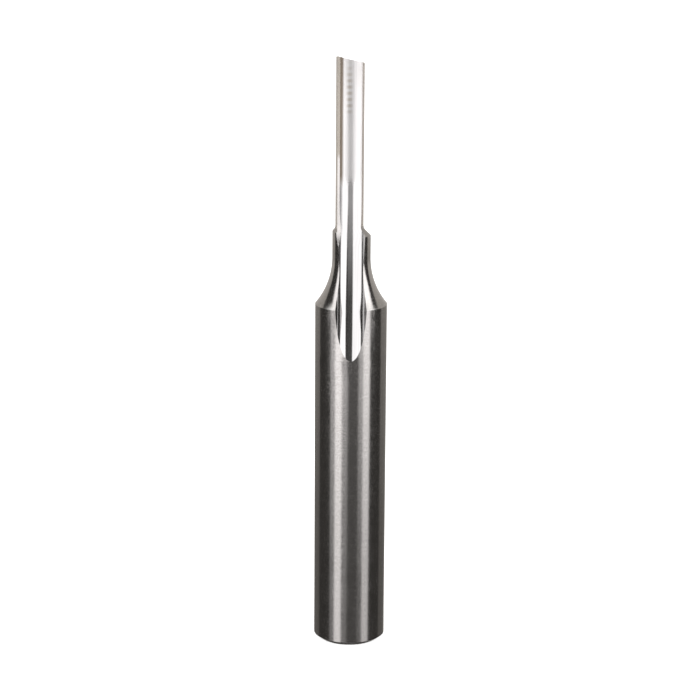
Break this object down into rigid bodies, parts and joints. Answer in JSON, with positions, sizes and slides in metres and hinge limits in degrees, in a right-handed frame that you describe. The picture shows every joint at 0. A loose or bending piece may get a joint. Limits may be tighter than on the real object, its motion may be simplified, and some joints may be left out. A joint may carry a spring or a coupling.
{
  "type": "router bit",
  "caption": "Straight single-flute router bit in solid carbide, with a plain round shank, a concave flare down to a thin cutter, and a long ground flute.",
  "frame": {"origin": "centre of the flat end face of the shank", "axes": "+Z along the bit's axis, from the shank to the tip; the open flute and the picture's camera are on the -Y side"},
  "size_m": [0.006, 0.006, 0.05],
  "materials": {
    "ground_carbide": "satin"
  },
  "bodies": {
    "root": {"router_bit": "ground_carbide"}
  },
  "joints": []
}
